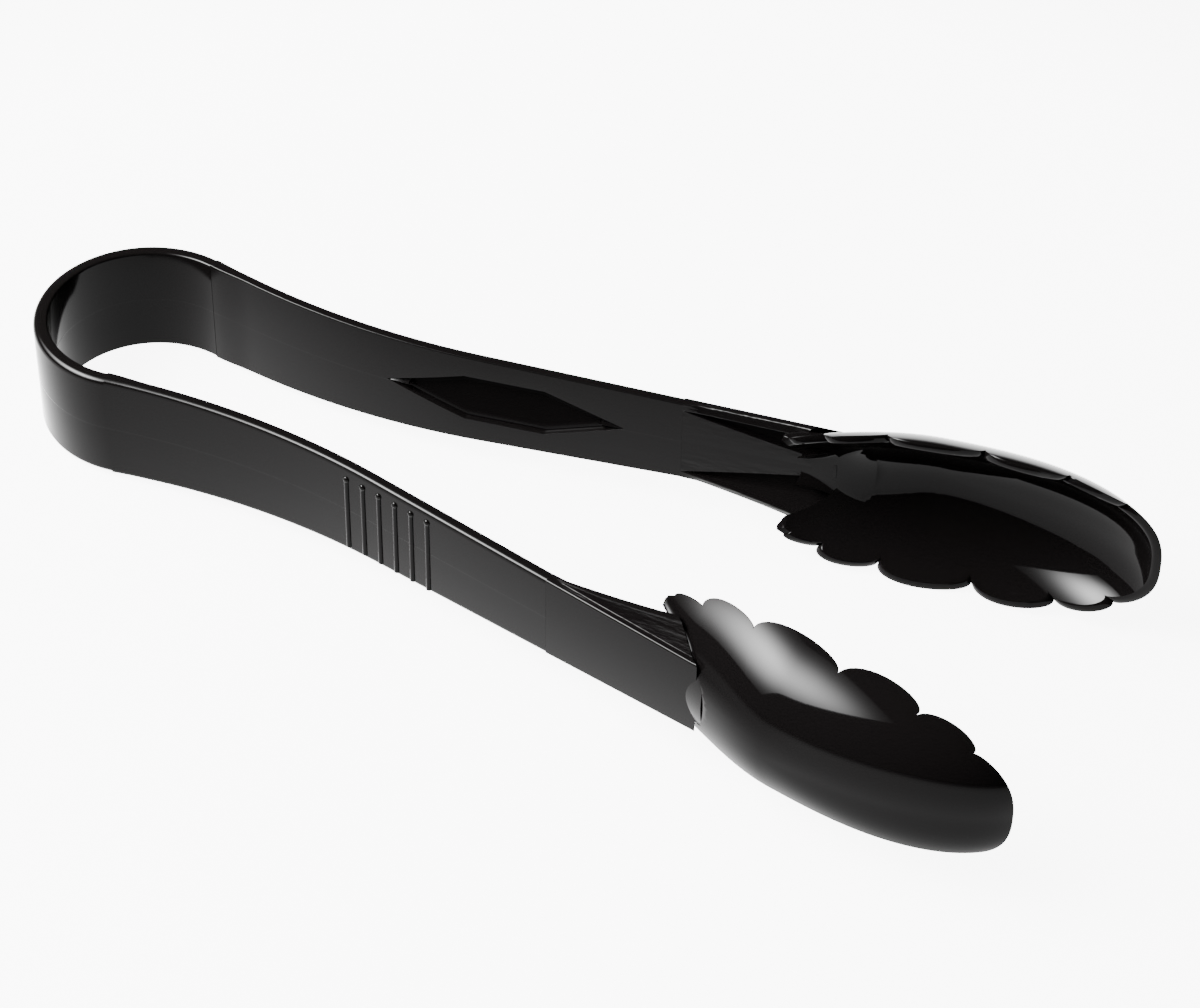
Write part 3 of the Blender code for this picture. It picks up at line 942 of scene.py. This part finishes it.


# the stage: a floor glowing as painted light, brightest around the tongs, one soft box from the left, and
# the fitted camera

stage = {
    "floorGlow": 8.0,
    "floorColour": 0.06,
    "boxAzimuth": 250.0,
    "boxElevation": 46.0,
    "boxDistance": 1.0,
    "boxWidth": 1.10,
    "boxHeight": 0.86,
    "boxPeak": 560.0,
    "boxSpread": (0.26, 0.13, 0.19),
    "boxCentre": (0.087, 0.035),
}


def emission(name, strengthOf):
    material = bpy.data.materials.new(name)
    material.use_nodes = True
    tree = material.node_tree
    tree.nodes.clear()
    coordinates = tree.nodes.new("ShaderNodeTexCoord")
    x, y, z = splitVector(tree, Wire(tree, coordinates.outputs["Object"]))
    light = addNode(tree, "ShaderNodeEmission", None, {"Strength": strengthOf(x, y, z)})
    leave = tree.nodes.new("ShaderNodeOutputMaterial")
    tree.links.new(light.socket, leave.inputs["Surface"])
    return material


def flatSheet(name, width, height, material):
    mesh = bpy.data.meshes.new(name)
    w = 0.5 * width
    h = 0.5 * height
    mesh.from_pydata([(-w, -h, 0), (w, -h, 0), (w, h, 0), (-w, h, 0)], [], [(0, 1, 2, 3)])
    mesh.materials.append(material)
    made = bpy.data.objects.new(name, mesh)
    bpy.context.scene.collection.objects.link(made)
    return made


def softPeak(x, y, z):
    wide, high, low = stage["boxSpread"]
    u = (x - stage["boxCentre"][0]) / wide
    rise = y - stage["boxCentre"][1]
    v = rise.math("MAXIMUM", 0.0) / high + rise.math("MINIMUM", 0.0) / low
    spread = (u * u + v * v) * -0.5
    return spread.math("EXPONENT") * stage["boxPeak"] + 1.5


boxSheet = flatSheet("softBox", stage["boxWidth"], stage["boxHeight"], emission("softBoxGlow", softPeak))
azimuth = math.radians(stage["boxAzimuth"])
elevation = math.radians(stage["boxElevation"])
towards = Vector((math.sin(azimuth) * math.cos(elevation), math.cos(azimuth) * math.cos(elevation),
                  math.sin(elevation)))
boxSheet.location = towards * stage["boxDistance"] + Vector((0.06, 0.0, 0.0))
boxSheet.rotation_euler = towards.to_track_quat("Z", "Y").to_euler()

floorMaterial = bpy.data.materials.new("floorPaintedLight")
floorMaterial.use_nodes = True
floorTree = floorMaterial.node_tree
floorShader = floorTree.nodes["Principled BSDF"]
floorShader.inputs["Base Color"].default_value = (*[stage["floorColour"]] * 3, 1.0)
floorShader.inputs["Roughness"].default_value = 0.9
floorShader.inputs["Specular IOR Level"].default_value = 0.0
floorShader.inputs["Emission Color"].default_value = (1.0, 1.0, 1.0, 1.0)
coordinates = floorTree.nodes.new("ShaderNodeTexCoord")
fx, fy, fz = splitVector(floorTree, Wire(floorTree, coordinates.outputs["Object"]))
# painted light: the floor glows most around the tongs and fades outwards, a painted pool of light
away = ((fx - 0.02) * (fx - 0.02) + fy * fy).math("SQRT")
paintedPool = (1.0 - (away - 0.20) / 0.5).math("MINIMUM", 1.0).math("MAXIMUM", 0.12)
feed(floorTree, floorShader.inputs["Emission Strength"], paintedPool * stage["floorGlow"])
floorSheet = flatSheet("floor", 4.0, 4.0, floorMaterial)
lowBow = -12.15 * mm
slope = (19.2 - 12.15) / (75.0 + 112.0)
floorSheet.rotation_euler = (0.0, math.atan(slope), 0.0)
floorSheet.location = (0.0, 0.0, lowBow - slope * 112.0 * mm)

world = bpy.data.worlds.new("studio")
world.use_nodes = True
world.node_tree.nodes["Background"].inputs["Color"].default_value = (1.0, 1.0, 1.0, 1.0)
world.node_tree.nodes["Background"].inputs["Strength"].default_value = 0.04
bpy.context.scene.world = world

view = {
    "azimuth": math.radians(26.50),
    "elevation": math.radians(41.98),
    "roll": math.radians(0.78),
    "distance": 741.7 * mm,
    "target": Vector((9.9 * mm, 3.4 * mm, 0.0)),
    "lens": 113.6,
}
backward = Vector((math.sin(view["azimuth"]) * math.cos(view["elevation"]),
                   -math.cos(view["azimuth"]) * math.cos(view["elevation"]),
                   math.sin(view["elevation"])))
right = Vector((0.0, 0.0, 1.0)).cross(backward).normalized()
upward = backward.cross(right)
rolledRight = right * math.cos(view["roll"]) + upward * math.sin(view["roll"])
rolledUp = upward * math.cos(view["roll"]) - right * math.sin(view["roll"])
camera = bpy.data.cameras.new("camera")
camera.lens = view["lens"]
camera.sensor_width = 36.0
camera.clip_start = 0.01
cameraObject = bpy.data.objects.new("camera", camera)
bpy.context.scene.collection.objects.link(cameraObject)
turn = Matrix((rolledRight, rolledUp, backward)).transposed()
cameraObject.matrix_world = Matrix.Translation(view["target"] + backward * view["distance"]) @ turn.to_4x4()
bpy.context.scene.camera = cameraObject
print("stage set")
